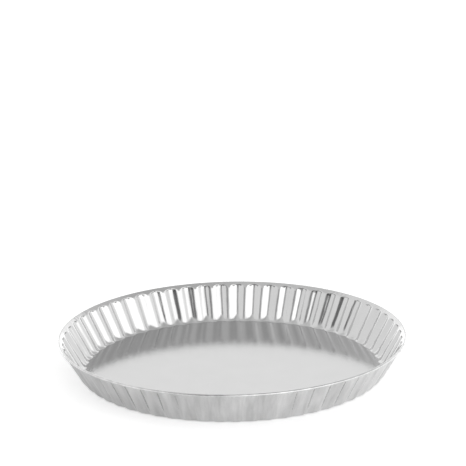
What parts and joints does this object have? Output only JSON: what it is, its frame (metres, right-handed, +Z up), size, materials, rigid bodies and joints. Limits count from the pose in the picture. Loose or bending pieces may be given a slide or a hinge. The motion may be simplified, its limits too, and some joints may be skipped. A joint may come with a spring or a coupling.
{
  "type": "fluted quiche dish",
  "caption": "Round shallow baking tin with a sloping fluted wall, a flared rim with a rolled bead, and a flat loose base that lifts out from a ledge.",
  "frame": {"origin": "centre of the foot plane, on the dish's axis", "axes": "+Z up along the dish's axis through the open top; +X through the middle of a flute's lobe"},
  "size_m": [0.28, 0.28, 0.0296],
  "materials": {
    "ring_tinplate": "bright",
    "base_tinplate": "satin"
  },
  "bodies": {
    "dish": {"fluted_ring": "ring_tinplate"},
    "base": {"loose_base": "base_tinplate"}
  },
  "joints": [
    {"name": "base_lift", "type": "slide", "parent": "dish", "child": "base", "axis": [0, 0, 1], "range_m": [0, 0.045]}
  ]
}
